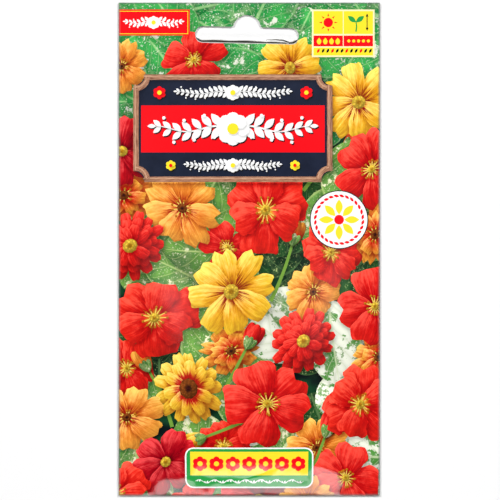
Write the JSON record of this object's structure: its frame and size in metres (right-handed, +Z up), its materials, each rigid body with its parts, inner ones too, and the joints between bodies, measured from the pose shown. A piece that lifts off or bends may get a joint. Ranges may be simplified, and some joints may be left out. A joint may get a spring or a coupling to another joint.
{
  "type": "seed packet",
  "caption": "Sealed rectangular paper seed packet with a punched hang slot in its header and a pocket of seeds that bulges at the foot.",
  "frame": {"origin": "middle of the packet's footprint, on the surface that it lies on", "axes": "+Z up out of the printed front, +Y from the foot to the header with the hang slot, +X to the right as the front is read"},
  "size_m": [0.08, 0.151, 0.0074],
  "materials": {
    "printed_front": "glossy laminated print in red, orange, yellow and leaf green",
    "printed_back": "satin coated paper, pale, with a green heading band",
    "adhesive": "thin translucent hot-melt layer",
    "seed": "dry corky seed coat"
  },
  "bodies": {
    "root": {"front_panel": "printed_front", "back_panel": "printed_back", "seal_adhesive": "adhesive", "seed_1": "seed", "seed_2": "seed", "seed_3": "seed", "seed_4": "seed", "seed_5": "seed", "seed_6": "seed", "seed_7": "seed", "seed_8": "seed"}
  },
  "joints": []
}
